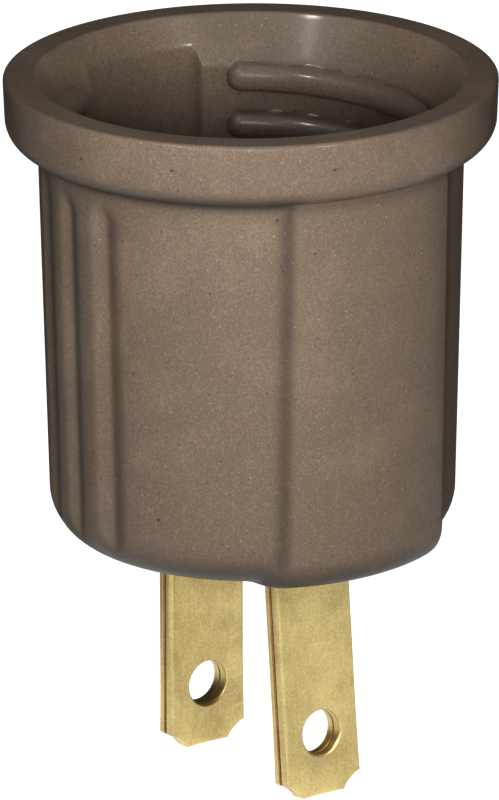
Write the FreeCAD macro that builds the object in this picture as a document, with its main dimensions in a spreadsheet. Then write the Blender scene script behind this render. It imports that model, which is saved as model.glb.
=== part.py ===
import FreeCAD, Part
import math
import os
import Sketcher

# Lamp socket adapter: a two-blade wall plug below, a screw lamp socket above.
# Frame: origin at the centre of the plug face, +Z up through the mouth,
# +X along the line through the two blades, blade widths along Y.
# Lengths in millimetres, angles in degrees.

doc = FreeCAD.newDocument("lamp_socket_adapter")

SIZES = [
    # moulded housing
    ("body_height", 34.5, "plug face to top of rim"),
    ("rim_overhang", 2.45, "how far the rim stands out of the wall"),
    ("rim_height", 4.9, "rim top to rim underside"),
    ("rim_draft", 0.17, "rim radius lost from top to underside"),
    ("rim_top_bevel", 0.3, "bevel of rim top outer edge"),
    ("rim_under_round", 1.9, "rounding of rim lower outer edge"),
    ("wall_thickness", 1.95, "bore wall to outside, under the rim"),
    ("wall_draft", 0.75, "wall radius lost from rim to plug face"),
    ("bottom_round", 3.6, "rounding between wall and plug face"),
    ("flare_width", 2.1, "how much wider than the bore the mouth is, in radius"),
    ("mouth_bevel", 0.2, "bevel of rim top inner edge"),
    ("flare_depth", 3.4, "depth of the cone that leads into the bore"),
    ("foot_room", 1.45, "end of a riveted foot to the bore wall"),
    ("floor_thickness", 5.0, "plug face to socket floor"),
    ("floor_bevel", 0.7, "bevel between bore wall and floor"),
    # raised pads over the contact pockets
    ("pad_height", 0.75, "how far a pad stands out of the wall"),
    ("pad_half_angle", 24.5, "half the angle that a pad covers"),
    ("pad_bottom_round", 2.3, "rounding of a pad's lower edge"),
    ("pad_side_round", 0.6, "rounding of a pad's upright edges"),
    ("pocket_depth", 0.8, "depth of a contact pocket in the bore wall"),
    ("pocket_half_angle", 20.4, "half the angle that a pocket covers"),
    # grip flutes
    ("flute_count", 3, "flutes on each flank"),
    ("flute_step", 15.0, "angle between neighbouring flutes"),
    ("flute_turn", 4.0, "turn of the flute group past the middle of the flank"),
    ("flute_depth", 0.42, "depth of a flute"),
    ("flute_round", 1.75, "radius of a flute's section"),
    ("flute_below_rim", 1.3, "rim underside to the end of a flute"),
    ("flute_foot", 1.2, "plug face to the lower end of a flute"),
    # lamp thread
    ("thread_pitch", 3.629, "rise of the lamp thread in one turn"),
    ("rib_height", 0.95, "bore wall to the crest of a thread rib"),
    ("rib_crest", 0.9, "width of a rib's crest"),
    ("rib_foot", 2.5, "width of a rib at its foot"),
    ("rib_root", 0.15, "depth of a rib's foot in the wall"),
    ("rib_half_angle", 56.6, "half the angle that a rib covers"),
    ("first_rib_depth", 4.2, "rim top to the upper end of the first rib"),
    ("rib_rows", 4, "ribs one above the other on each side"),
    ("lead_angle", 50.0, "angle covered by the thread's first rib"),
    # plug blades, each one strip folded double at its tip
    ("blade_spacing", 12.7, "between the middles of the blades"),
    ("blade_width", 6.35, "width of a blade"),
    ("blade_length", 18.15, "plug face to blade tip"),
    ("leaf_thickness", 0.71, "thickness of the strip"),
    ("leaf_gap", 0.1, "seam left between the two leaves"),
    ("leaf_bend", 0.3, "inner radius where a leaf turns onto the floor"),
    ("tip_round", 0.5, "rounding of the folded tip"),
    ("notch_radius", 1.25, "corner notches at the tip"),
    ("blade_hole_radius", 1.8, "hole through a blade"),
    ("blade_hole_depth", 13.55, "plug face to the middle of the hole"),
    ("blade_edge_round", 0.16, "rounding of the blade's long edges"),
    ("lean_near", 4.5, "outward lean of the blade on the +X side"),
    ("lean_far", 0.0, "outward lean of the blade on the -X side"),
    ("slot_clearance", 0.2, "gap between blade and its slot, each side"),
    ("foot_end", 2.1, "rivet middle to the end of the riveted foot"),
    ("foot_inner", 2.7, "blade middle to the end of the short foot"),
    # rivets
    ("rivet_offset", 3.5, "blade middle to rivet middle"),
    ("rivet_radius", 1.1, "rivet shank"),
    ("rivet_clearance", 0.06, "gap around the shank"),
    ("rivet_head_radius", 1.8, "rivet head in the plug face"),
    ("rivet_head_height", 0.7, "height of that head"),
    ("rivet_clinch_radius", 1.65, "clinched end inside the socket"),
    ("rivet_clinch_height", 0.5, "height of the clinched end"),
    ("rivet_sink", 0.3, "rivet head below the plug face"),
    ("rivet_room", 0.2, "gap around the head in its counterbore"),
    # contact springs
    ("spring_thickness", 0.5, "strip of both contacts"),
    ("spring_width", 5.0, "width of both contacts"),
    ("spring_bend", 0.6, "inner radius of the contacts' bends"),
    ("side_wall_gap", 0.3, "side contact to the back of its pocket"),
    ("side_height", 17.5, "floor to the top of the side contact"),
    ("side_bow", 0.95, "how far the side contact bows into the bore"),
    ("side_bow_half", 3.6, "half the height of that bow"),
    ("side_bow_drop", 5.2, "top of the side contact to the middle of the bow"),
    ("strip_overlap", 1.9, "rivet middle to the riveted end of a contact"),
    ("centre_height", 4.4, "floor to the top of the centre contact"),
    ("centre_reach", 1.9, "how far it passes the middle"),
    ("centre_round", 3.2, "radius of its crest"),
]

sheet = doc.addObject("Spreadsheet::Sheet", "Sizes")
for row, (name, value, note) in enumerate(SIZES, start=1):
    sheet.set("A%d" % row, name)
    sheet.set("B%d" % row, str(value))
    sheet.set("C%d" % row, note)
    sheet.setAlias("B%d" % row, name)
doc.recompute()


class Dim:
    """A length or angle that knows its value and the sheet formula behind it."""

    def __init__(self, value, text):
        self.value = float(value)
        self.text = text

    @staticmethod
    def of(other):
        if isinstance(other, Dim):
            return other
        return Dim(other, repr(float(other)))

    def __add__(self, other):
        other = Dim.of(other)
        return Dim(self.value + other.value, "(%s + %s)" % (self.text, other.text))

    def __sub__(self, other):
        other = Dim.of(other)
        return Dim(self.value - other.value, "(%s - %s)" % (self.text, other.text))

    def __mul__(self, other):
        other = Dim.of(other)
        return Dim(self.value * other.value, "(%s * %s)" % (self.text, other.text))

    def __truediv__(self, other):
        other = Dim.of(other)
        return Dim(self.value / other.value, "(%s / %s)" % (self.text, other.text))

    def __neg__(self):
        return Dim(-self.value, "(-1 * %s)" % self.text)

    __radd__ = __add__

    def __rsub__(self, other):
        return Dim.of(other) - self

    def __rmul__(self, other):
        return Dim.of(other) * self


def sine(angle):
    return Dim(math.sin(math.radians(angle.value)), "sin(%s)" % angle.text)


def cosine(angle):
    return Dim(math.cos(math.radians(angle.value)), "cos(%s)" % angle.text)


def tangent(angle):
    return Dim(math.tan(math.radians(angle.value)), "tan(%s)" % angle.text)


def arc_sine(ratio):
    return Dim(math.degrees(math.asin(ratio.value)), "asin(%s)" % ratio.text)


def arc_tangent(ratio):
    return Dim(math.degrees(math.atan(ratio.value)), "atan(%s)" % ratio.text)


def root(square):
    return Dim(math.sqrt(square.value), "sqrt(%s)" % square.text)


class Table:
    pass


S = Table()
for name, value, note in SIZES:
    setattr(S, name, Dim(value, "Sizes." + name))

ZERO = Dim(0.0, "0")


def origin_plane(body, role):
    return [f for f in body.Origin.OriginFeatures if f.Role == role][0]


def new_body(name):
    body = doc.addObject("PartDesign::Body", name)
    body.Label = name
    return body


def new_sketch(body, name, role, turn=None):
    sketch = body.newObject("Sketcher::SketchObject", name)
    sketch.AttachmentSupport = [(origin_plane(body, role), "")]
    sketch.MapMode = "FlatFace"
    if turn is not None:
        # the XZ plane's own upright axis is its second one
        sketch.AttachmentOffset = FreeCAD.Placement(
            FreeCAD.Vector(0, 0, 0), FreeCAD.Rotation(FreeCAD.Vector(0, 1, 0), turn.value))
        sketch.setExpression("AttachmentOffset.Rotation.Angle", turn.text)
    return sketch


def pin(sketch, index, position, x, y):
    # ties one point of the sketch to the sheet, measured from the origin
    for kind, dim, axis in (("DistanceX", x, -2), ("DistanceY", y, -1)):
        if abs(dim.value) < 1e-9 and dim.text == "0":
            sketch.addConstraint(Sketcher.Constraint("PointOnObject", index, position, axis))
        else:
            number = sketch.addConstraint(
                Sketcher.Constraint(kind, -1, 1, index, position, dim.value))
            sketch.setExpression("Constraints[%d]" % number, dim.text)


def outline(sketch, corners):
    # corners: (x, y) or (x, y, radius, side) where the edge that leaves the corner
    # is an arc that bulges to the given side of the way (+1 left, -1 right)
    count = len(corners)
    first = sketch.GeometryCount
    ends = []
    for i, corner in enumerate(corners):
        following = corners[(i + 1) % count]
        start = FreeCAD.Vector(corner[0].value, corner[1].value, 0)
        end = FreeCAD.Vector(following[0].value, following[1].value, 0)
        if len(corner) == 2:
            sketch.addGeometry(Part.LineSegment(start, end))
            ends.append((1, 2))
            continue
        radius, side = corner[2].value, corner[3]
        chord = end - start
        left = FreeCAD.Vector(-chord.y, chord.x, 0).normalize()
        inset = math.sqrt(max(0.0, radius ** 2 - (chord.Length / 2) ** 2))
        centre = (start + end) * 0.5 - left * (side * inset)
        # arcs are drawn counterclockwise, whichever way the outline runs
        if side > 0:
            start, end = end, start
        angle_from = math.atan2(start.y - centre.y, start.x - centre.x)
        angle_to = math.atan2(end.y - centre.y, end.x - centre.x)
        if angle_to < angle_from:
            angle_to += 2 * math.pi
        whole = Part.Circle(centre, FreeCAD.Vector(0, 0, 1), radius)
        sketch.addGeometry(Part.ArcOfCircle(whole, angle_from, angle_to))
        ends.append((2, 1) if side > 0 else (1, 2))
    for i in range(count):
        j = (i + 1) % count
        sketch.addConstraint(Sketcher.Constraint(
            "Coincident", first + i, ends[i][1], first + j, ends[j][0]))
    for i, corner in enumerate(corners):
        pin(sketch, first + i, ends[i][0], corner[0], corner[1])
        if len(corner) == 4:
            number = sketch.addConstraint(
                Sketcher.Constraint("Radius", first + i, corner[2].value))
            sketch.setExpression("Constraints[%d]" % number, corner[2].text)


def circle(sketch, x, y, radius):
    index = sketch.addGeometry(Part.Circle(
        FreeCAD.Vector(x.value, y.value, 0), FreeCAD.Vector(0, 0, 1), radius.value))
    pin(sketch, index, 3, x, y)
    number = sketch.addConstraint(Sketcher.Constraint("Radius", index, radius.value))
    sketch.setExpression("Constraints[%d]" % number, radius.text)


def bind(feature, prop, dim):
    whole = prop == "Occurrences"
    setattr(feature, prop, int(dim.value) if whole else dim.value)
    feature.setExpression(prop, dim.text)


def revolve(body, name, sketch, kind="PartDesign::Revolution", half_angle=None):
    feature = body.newObject(kind, name)
    feature.Profile = sketch
    feature.ReferenceAxis = (sketch, ["V_Axis"])
    if half_angle is None:
        feature.Angle = 360
    else:
        feature.Midplane = True
        bind(feature, "Angle", half_angle * 2)
    body.Tip = feature
    doc.recompute()
    return feature


FILLET = "PartDesign::Fillet"
CHAMFER = "PartDesign::Chamfer"


def round_edges(body, name, base, chosen, radius, kind=FILLET):
    names = ["Edge%d" % (i + 1) for i, edge in enumerate(base.Shape.Edges) if chosen(edge)]
    if not names:
        raise RuntimeError("no edge found for " + name)
    feature = body.newObject(kind, name)
    feature.Base = (base, names)
    prop = "Radius" if kind == FILLET else "Size"
    bind(feature, prop, radius)
    body.Tip = feature
    doc.recompute()
    return feature


def ring(radius, height):
    # picks the full or partial circle of this radius about Z at this height
    def chosen(edge):
        if not isinstance(edge.Curve, Part.Circle):
            return False
        box = edge.BoundBox
        return (abs(edge.Curve.Radius - radius.value) < 1e-3
                and abs(box.ZMin - height.value) < 1e-3
                and abs(box.ZMax - height.value) < 1e-3)
    return chosen


def half_turn(body, name, features, copies=2):
    pattern = body.newObject("PartDesign::PolarPattern", name)
    pattern.Originals = features
    pattern.Axis = (origin_axis(body), [""])
    pattern.Angle = 360
    pattern.Occurrences = copies
    body.Tip = pattern
    doc.recompute()
    return pattern


def origin_axis(body):
    return [f for f in body.Origin.OriginFeatures if f.Role == "Z_Axis"][0]


# Heights and places shared by several pieces. The radii follow from the plug: the
# blades' spacing, the rivets beside them and the room around their feet.
under_rim = S.body_height - S.rim_height
flare_foot = S.body_height - S.flare_depth
half_blade = S.leaf_thickness + S.leaf_gap / 2
blade_x = S.blade_spacing / 2
rivet_x = blade_x + S.rivet_offset
foot_reach = rivet_x + S.foot_end
bore_radius = foot_reach + S.foot_room
pocket_radius = bore_radius + S.pocket_depth
mouth_radius = bore_radius + S.flare_width
wall_radius = bore_radius + S.wall_thickness
base_radius = wall_radius - S.wall_draft
rim_radius = wall_radius + S.rim_overhang
foot_top = S.floor_thickness + S.leaf_thickness
spring_top = foot_top + S.spring_thickness


def wall_at(height):
    # outer wall radius at a height, between plug face and rim
    return wall_radius - S.wall_draft * (under_rim - height) / under_rim


# Housing: one thermoset moulding. The cup comes first, up to the flare.
housing = new_body("housing")
sketch = new_sketch(housing, "cup_profile", "XZ_Plane")
outline(sketch, [
    (ZERO, ZERO),
    (base_radius, ZERO),
    (wall_radius, under_rim),
    (wall_radius, flare_foot),
    (bore_radius, flare_foot),
    (bore_radius, S.floor_thickness),
    (ZERO, S.floor_thickness),
])
cup = revolve(housing, "cup", sketch)
solid = round_edges(housing, "bottom_rounding", cup, ring(base_radius, ZERO), S.bottom_round)
solid = round_edges(housing, "floor_bevelling", solid,
                    ring(bore_radius, S.floor_thickness), S.floor_bevel, CHAMFER)

# Thick rolled rim and the flared mouth, turned onto the cup.
sketch = new_sketch(housing, "rim_profile", "XZ_Plane")
outline(sketch, [
    (bore_radius + S.pad_height / 2, under_rim),
    (rim_radius - S.rim_draft, under_rim),
    (rim_radius, S.body_height),
    (mouth_radius, S.body_height),
    (bore_radius, flare_foot),
    (bore_radius + S.pad_height / 2, flare_foot),
])
rim = revolve(housing, "rim", sketch)
solid = round_edges(housing, "rim_under_rounding", rim,
                    ring(rim_radius - S.rim_draft, under_rim), S.rim_under_round)
solid = round_edges(housing, "rim_top_bevelling", solid,
                    ring(rim_radius, S.body_height), S.rim_top_bevel, CHAMFER)
solid = round_edges(housing, "mouth_bevelling", solid,
                    ring(mouth_radius, S.body_height), S.mouth_bevel, CHAMFER)

# Two pads that keep the wall's thickness behind the contact pockets. They are
# shaped on a block of their own, whose core stays inside the floor.
pad_block = new_body("pad_block")
core_radius = base_radius - S.bottom_round * 1.5
sketch = new_sketch(pad_block, "pad_core_profile", "XZ_Plane")
outline(sketch, [
    (ZERO, S.floor_thickness / 5),
    (core_radius, S.floor_thickness / 5),
    (core_radius, S.floor_thickness / 2),
    (ZERO, S.floor_thickness / 2),
])
revolve(pad_block, "pad_core", sketch)
sketch = new_sketch(pad_block, "pad_profile", "XZ_Plane")
pad_radius = base_radius + S.pad_height
pad_inside = bore_radius + S.pad_height
pad_top = under_rim + S.rim_height / 5
outline(sketch, [
    (core_radius - 1, ZERO),
    (pad_radius - S.pad_bottom_round, ZERO, S.pad_bottom_round, -1),
    (pad_radius + S.wall_draft * S.pad_bottom_round / under_rim, S.pad_bottom_round),
    (wall_radius + S.pad_height, under_rim),
    (wall_radius + S.pad_height, pad_top),
    (pad_inside, pad_top),
    (pad_inside, S.floor_thickness / 2),
    (core_radius - 1, S.floor_thickness / 2),
])
pad = revolve(pad_block, "pad", sketch, half_angle=S.pad_half_angle)
pads = half_turn(pad_block, "pads", [pad])


def pad_upright(edge):
    # the tall outer edges at the two sides of each pad
    box = edge.BoundBox
    tall = box.ZMax - box.ZMin > under_rim.value / 2
    first = edge.Vertexes[0]
    return tall and math.hypot(first.X, first.Y) > base_radius.value + S.pad_height.value / 2


round_edges(pad_block, "pad_side_rounding", pads, pad_upright, S.pad_side_round)
joined = housing.newObject("PartDesign::Boolean", "housing_with_pads")
joined.Type = "Fuse"
joined.setObjects([pad_block])
joined.Refine = False
housing.Tip = joined
doc.recompute()

# Contact pockets, cut back into the bore wall above each blade.
sketch = new_sketch(housing, "pocket_profile", "XZ_Plane")
outline(sketch, [
    (bore_radius - S.floor_bevel, S.floor_thickness),
    (pocket_radius, S.floor_thickness),
    (pocket_radius, S.body_height),
    (bore_radius - S.floor_bevel, S.body_height),
])
pocket = revolve(housing, "pocket", sketch, "PartDesign::Groove", S.pocket_half_angle)
pockets = half_turn(housing, "pockets", [pocket])

# Grip flutes: a ball-ended cutter laid along the drafted wall.
flute_axis = S.flute_round - S.flute_depth
flute_top = under_rim - S.flute_below_rim - root(
    S.flute_round * S.flute_round - flute_axis * flute_axis)
flute_end = flute_top + S.flute_round
group_turn = -90 - S.flute_turn - S.flute_step * (S.flute_count - 1) / 2
sketch = new_sketch(housing, "flute_profile", "XZ_Plane", group_turn)
outline(sketch, [
    (wall_at(S.flute_foot) + flute_axis, S.flute_foot),
    (wall_at(flute_end) + flute_axis, flute_end, S.flute_round, -1),
    (wall_at(flute_top) - S.flute_depth, flute_top),
    (wall_at(S.flute_foot) - S.flute_depth, S.flute_foot),
])
line = sketch.addGeometry(Part.LineSegment(
    FreeCAD.Vector((wall_at(S.flute_foot) + flute_axis).value, S.flute_foot.value, 0),
    FreeCAD.Vector((wall_at(flute_end) + flute_axis).value, flute_end.value, 0)), True)
pin(sketch, line, 1, wall_at(S.flute_foot) + flute_axis, S.flute_foot)
pin(sketch, line, 2, wall_at(flute_end) + flute_axis, flute_end)
flute = housing.newObject("PartDesign::Groove", "flute")
flute.Profile = sketch
flute.ReferenceAxis = (sketch, ["Axis0"])
flute.Angle = 360
housing.Tip = flute
doc.recompute()
row = housing.newObject("PartDesign::MultiTransform", "flutes")
row.Originals = [flute]
housing.Tip = row
step = housing.newObject("PartDesign::PolarPattern", "flute_row")
step.Axis = (origin_axis(housing), [""])
bind(step, "Angle", S.flute_step * (S.flute_count - 1))
bind(step, "Occurrences", S.flute_count)
flank = housing.newObject("PartDesign::PolarPattern", "flute_flanks")
flank.Axis = (origin_axis(housing), [""])
flank.Angle = 360
flank.Occurrences = 2
row.Transformations = [step, flank]
housing.Tip = row
doc.recompute()


def rectangle(sketch, x, y, half_x, half_y):
    outline(sketch, [
        (x - half_x, y - half_y),
        (x + half_x, y - half_y),
        (x + half_x, y + half_y),
        (x - half_x, y + half_y),
    ])


def cut(body, name, sketch, depth=None):
    # cuts upward from the sketch plane, through everything or to a depth
    feature = body.newObject("PartDesign::Pocket", name)
    feature.Profile = sketch
    feature.Reversed = True
    if depth is None:
        feature.Type = 1
    else:
        bind(feature, "Length", depth)
    body.Tip = feature
    doc.recompute()
    return feature


# Slots for the blades, holes and counterbores for the two rivets.
slot_half = half_blade + S.slot_clearance
sketch = new_sketch(housing, "slot_outline", "XY_Plane")
for side in (blade_x, -blade_x):
    rectangle(sketch, side, Dim(0.0, "0 * 1"), slot_half, S.blade_width / 2 + S.slot_clearance)
for side in (rivet_x, -rivet_x):
    circle(sketch, side, ZERO, S.rivet_radius + S.rivet_clearance)
slots = cut(housing, "slots", sketch)
sketch = new_sketch(housing, "counterbore_outline", "XY_Plane")
for side in (rivet_x, -rivet_x):
    circle(sketch, side, ZERO, S.rivet_head_radius + S.rivet_room)
solid = cut(housing, "counterbores", sketch, S.rivet_sink + S.rivet_head_height)


def slot_brim(edge):
    # long edges of the slots, at the socket floor
    box = edge.BoundBox
    middle = abs((box.XMin + box.XMax) / 2)
    return (box.XMax - box.XMin < 1e-3
            and abs(box.ZMin - S.floor_thickness.value) < 1e-3
            and box.ZMax - box.ZMin < 1e-3
            and box.YMax - box.YMin > S.blade_width.value / 2
            and abs(abs(middle - blade_x.value) - slot_half.value) < 1e-3)


round_edges(housing, "slot_brims", solid, slot_brim, S.leaf_bend, CHAMFER)

# Lamp thread: round-ended ribs moulded on the bore wall between the pockets.
rib_back = bore_radius + S.rib_root
rib_front = bore_radius - S.rib_height


def rib_rise(span):
    return S.thread_pitch * span / 360


def rib_outline(sketch, height):
    outline(sketch, [
        (rib_back, height + S.rib_foot / 2),
        (rib_front, height + S.rib_crest / 2),
        (rib_front, height - S.rib_crest / 2),
        (rib_back, height - S.rib_foot / 2),
    ])


def thread_rib(name, start, span, height):
    # a rib that climbs from its start angle; height is its middle there
    sketch = new_sketch(housing, name + "_section", "XZ_Plane", start)
    rib_outline(sketch, height)
    rib = housing.newObject("PartDesign::AdditiveHelix", name)
    rib.Profile = sketch
    rib.ReferenceAxis = (origin_axis(housing), [""])
    rib.Mode = 0
    bind(rib, "Pitch", S.thread_pitch)
    bind(rib, "Height", rib_rise(span))
    rib.LeftHanded = False
    housing.Tip = rib
    doc.recompute()
    features = [rib]
    for end, turn, middle, back in (
            ("lower", start, height, False),
            ("upper", start + span, height + rib_rise(span), True)):
        sketch = new_sketch(housing, "%s_%s_section" % (name, end), "XZ_Plane", turn)
        rib_outline(sketch, middle)
        line = sketch.addGeometry(Part.LineSegment(
            FreeCAD.Vector(rib_back.value, 0, 0),
            FreeCAD.Vector(rib_back.value, under_rim.value, 0)), True)
        pin(sketch, line, 1, rib_back, ZERO)
        pin(sketch, line, 2, rib_back, under_rim)
        rounded = housing.newObject("PartDesign::Revolution", "%s_%s_end" % (name, end))
        rounded.Profile = sketch
        rounded.ReferenceAxis = (sketch, ["Axis0"])
        rounded.Angle = 90
        rounded.Reversed = back
        housing.Tip = rounded
        doc.recompute()
        features.append(rounded)
    return features


def rib_rows(name, features):
    pattern = housing.newObject("PartDesign::LinearPattern", name)
    pattern.Originals = features
    pattern.Direction = (origin_axis(housing), [""])
    pattern.Reversed = True
    bind(pattern, "Length", S.thread_pitch * (S.rib_rows - 1))
    bind(pattern, "Occurrences", S.rib_rows)
    housing.Tip = pattern
    doc.recompute()
    return pattern


rib_span = S.rib_half_angle * 2
first_start = 90 - S.rib_half_angle
top_height = S.body_height - S.first_rib_depth - rib_rise(rib_span)
second_height = top_height - S.thread_pitch / 2
rib_rows("left_ribs", thread_rib("left_rib", first_start, rib_span, top_height))
rib_rows("right_ribs", thread_rib("right_rib", first_start + 180, rib_span, second_height))
thread_rib("lead_rib", first_start + 180, S.lead_angle, second_height + S.thread_pitch)


def extrude(body, name, sketch, width):
    # the outline thickened to both sides of the XZ plane
    feature = body.newObject("PartDesign::Pad", name)
    feature.Profile = sketch
    feature.Midplane = True
    bind(feature, "Length", width)
    body.Tip = feature
    doc.recompute()
    return feature


def rivet_hole(body, prefix):
    sketch = new_sketch(body, prefix + "_rivet_hole_outline", "XY_Plane")
    circle(sketch, rivet_x, ZERO, S.rivet_radius + S.rivet_clearance)
    return cut(body, prefix + "_rivet_hole", sketch)


def turn_round(body):
    # the piece on the -X side is drawn on the +X side and turned half round
    body.Placement = FreeCAD.Placement(
        FreeCAD.Vector(0, 0, 0), FreeCAD.Rotation(FreeCAD.Vector(0, 0, 1), 180))


# Blades: a strip folded double at the tip, with its two ends bent apart on the
# socket floor.
def make_blade(name, lean):
    body = new_body(name)
    leaf = S.leaf_thickness
    gap = S.leaf_gap / 2
    bend = S.leaf_bend
    floor = S.floor_thickness

    def along(distance, across):
        return (blade_x + distance * sine(lean) + across * cosine(lean),
                across * sine(lean) - distance * cosine(lean))

    def at_bend(across):
        return (blade_x + across, across * tangent(lean / 2))

    sketch = new_sketch(body, name + "_outline", "XZ_Plane")
    outline(sketch, [
        (foot_reach, floor),
        (blade_x + half_blade + bend, floor, bend, -1),
        (blade_x + half_blade, floor - bend),
        at_bend(half_blade),
        along(S.blade_length, half_blade),
        along(S.blade_length, -half_blade),
        at_bend(-half_blade),
        (blade_x - half_blade, floor - bend, bend, -1),
        (blade_x - half_blade - bend, floor),
        (blade_x - S.foot_inner, floor),
        (blade_x - S.foot_inner, foot_top),
        (blade_x - half_blade - bend, foot_top, bend + leaf, 1),
        (blade_x - gap, floor - bend),
        at_bend(-gap),
        along(S.blade_length - leaf, -gap),
        along(S.blade_length - leaf, gap),
        at_bend(gap),
        (blade_x + gap, floor - bend, bend + leaf, 1),
        (blade_x + half_blade + bend, foot_top),
        (foot_reach, foot_top),
    ])
    strip = extrude(body, name + "_strip", sketch, S.blade_width)
    tips = [along(S.blade_length, half_blade), along(S.blade_length, -half_blade)]

    def tip_edge(edge):
        box = edge.BoundBox
        return box.YMax - box.YMin > S.blade_width.value / 2 and any(
            abs(box.XMin - x.value) < 1e-3 and abs(box.ZMin - z.value) < 1e-3 for x, z in tips)

    round_edges(body, name + "_tip_rounding", strip, tip_edge, S.tip_round)
    sketch = new_sketch(body, name + "_cut_outline", "YZ_Plane")
    circle(sketch, ZERO, -(S.blade_hole_depth * cosine(lean)), S.blade_hole_radius)
    for side in (S.blade_width / 2, -(S.blade_width / 2)):
        circle(sketch, side, -(S.blade_length * cosine(lean)), S.notch_radius)
    cuts = body.newObject("PartDesign::Pocket", name + "_hole_and_notches")
    cuts.Profile = sketch
    cuts.Type = 1
    cuts.Midplane = True
    body.Tip = cuts
    doc.recompute()
    rivet_hole(body, name)
    return body


blade_near = make_blade("blade_near", S.lean_near)
blade_far = make_blade("blade_far", S.lean_far)
turn_round(blade_far)


# Tubular rivets that clamp foot and contact to the floor.
def make_rivet(name):
    body = new_body(name)
    head_top = S.rivet_sink + S.rivet_head_height
    end_top = spring_top + S.rivet_clinch_height
    dimple = S.rivet_radius * 0.45
    sketch = new_sketch(body, name + "_profile", "XZ_Plane")
    outline(sketch, [
        (rivet_x, S.rivet_sink),
        (rivet_x + S.rivet_head_radius * 0.6, S.rivet_sink),
        (rivet_x + S.rivet_head_radius, S.rivet_sink + S.rivet_head_height / 2),
        (rivet_x + S.rivet_head_radius, head_top),
        (rivet_x + S.rivet_radius, head_top),
        (rivet_x + S.rivet_radius, spring_top),
        (rivet_x + S.rivet_clinch_radius, spring_top),
        (rivet_x + S.rivet_clinch_radius * 0.95, spring_top + S.rivet_clinch_height / 2),
        (rivet_x + S.rivet_radius, end_top),
        (rivet_x + dimple * 1.4, end_top),
        (rivet_x + dimple, end_top - S.rivet_clinch_height * 1.6),
        (rivet_x, end_top - S.rivet_clinch_height * 1.6),
    ])
    line = sketch.addGeometry(Part.LineSegment(
        FreeCAD.Vector(rivet_x.value, 0, 0),
        FreeCAD.Vector(rivet_x.value, end_top.value, 0)), True)
    pin(sketch, line, 1, rivet_x, ZERO)
    pin(sketch, line, 2, rivet_x, end_top)
    turned = body.newObject("PartDesign::Revolution", name + "_turned")
    turned.Profile = sketch
    turned.ReferenceAxis = (sketch, ["Axis0"])
    turned.Angle = 360
    body.Tip = turned
    doc.recompute()
    return body


rivet_near = make_rivet("rivet_near")
rivet_far = make_rivet("rivet_far")
turn_round(rivet_far)

# Side contact: a bowed upright spring in the pocket above the +X blade, which
# bears on the side of a lamp's threaded shell.
side_contact = new_body("side_contact")
face_out = root(pocket_radius * pocket_radius
                - S.spring_width * S.spring_width / 4) - S.side_wall_gap
face_in = face_out - S.spring_thickness
bend_out = S.spring_bend + S.spring_thickness
side_top = S.floor_thickness + S.side_height
bow_z = side_top - S.side_bow_drop
bow_round = (S.side_bow_half * S.side_bow_half + S.side_bow * S.side_bow) / (S.side_bow * 2)
bow_axis = face_out - S.side_bow + bow_round
bow_thick = bow_round + S.spring_thickness
bow_inner_half = root(bow_thick * bow_thick - (bow_axis - face_in) * (bow_axis - face_in))
sketch = new_sketch(side_contact, "side_contact_outline", "XZ_Plane")
outline(sketch, [
    (rivet_x - S.strip_overlap, foot_top),
    (face_out - bend_out, foot_top, bend_out, -1),
    (face_out, foot_top + bend_out),
    (face_out, bow_z - S.side_bow_half, bow_round, 1),
    (face_out, bow_z + S.side_bow_half),
    (face_out, side_top),
    (face_in, side_top),
    (face_in, bow_z + bow_inner_half, bow_thick, -1),
    (face_in, bow_z - bow_inner_half),
    (face_in, spring_top + S.spring_bend, S.spring_bend, 1),
    (face_in - S.spring_bend, spring_top),
    (rivet_x - S.strip_overlap, spring_top),
])
extrude(side_contact, "side_contact_strip", sketch, S.spring_width)
rivet_hole(side_contact, "side_contact")

# Centre contact: riveted on the -X foot, it rises over the middle of the floor
# to meet the button of the lamp.
centre_contact = new_body("centre_contact")
crest_z = S.floor_thickness + S.centre_height
crest_axis = crest_z - S.centre_round
inner_round = S.centre_round - S.spring_thickness
end_sine = S.centre_reach / S.centre_round
end_cosine = root(1 - end_sine * end_sine)
# the strip leaves its foot over the middle of the blade, tangent to the crest
rise_run = root(blade_x * blade_x
                + (crest_axis - spring_top) * (crest_axis - spring_top))
rise = arc_tangent((crest_axis - spring_top) / blade_x) + arc_sine(S.centre_round / rise_run)
rise_sine = sine(rise)
rise_cosine = cosine(rise)
rise_tangent = tangent(rise)


def foot_of_rise(radius, level):
    # where the rising strip's face, tangent to the crest, meets this level
    return radius * rise_sine + (crest_axis + radius * rise_cosine - level) / rise_tangent


sketch = new_sketch(centre_contact, "centre_contact_outline", "XZ_Plane")
outline(sketch, [
    (rivet_x + S.strip_overlap, foot_top),
    (rivet_x + S.strip_overlap, spring_top),
    (foot_of_rise(S.centre_round, spring_top), spring_top),
    (S.centre_round * rise_sine, crest_axis + S.centre_round * rise_cosine,
     S.centre_round, -1),
    (-(S.centre_round * end_sine), crest_axis + S.centre_round * end_cosine),
    (-(inner_round * end_sine), crest_axis + inner_round * end_cosine, inner_round, 1),
    (inner_round * rise_sine, crest_axis + inner_round * rise_cosine),
    (foot_of_rise(inner_round, foot_top), foot_top),
])
extrude(centre_contact, "centre_contact_strip", sketch, S.spring_width)
rivet_hole(centre_contact, "centre_contact")
turn_round(centre_contact)

doc.recompute()
for item in doc.Objects:
    if "Invalid" in item.State or "Error" in item.State:
        raise RuntimeError("%s is in state %s" % (item.Name, item.State))
nodes = [housing, blade_near, blade_far, rivet_near, rivet_far, side_contact, centre_contact]
for node in nodes:
    if node.Shape.isNull() or not node.Shape.isValid() or len(node.Shape.Solids) != 1:
        raise RuntimeError(node.Label + " has no sound single solid")
os.makedirs("parts", exist_ok=True)
for node in nodes:
    node.Shape.exportStep(os.path.join("parts", node.Label + ".step"))
    print(node.Label, round(node.Shape.Volume, 2), len(node.Shape.Faces))
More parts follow.
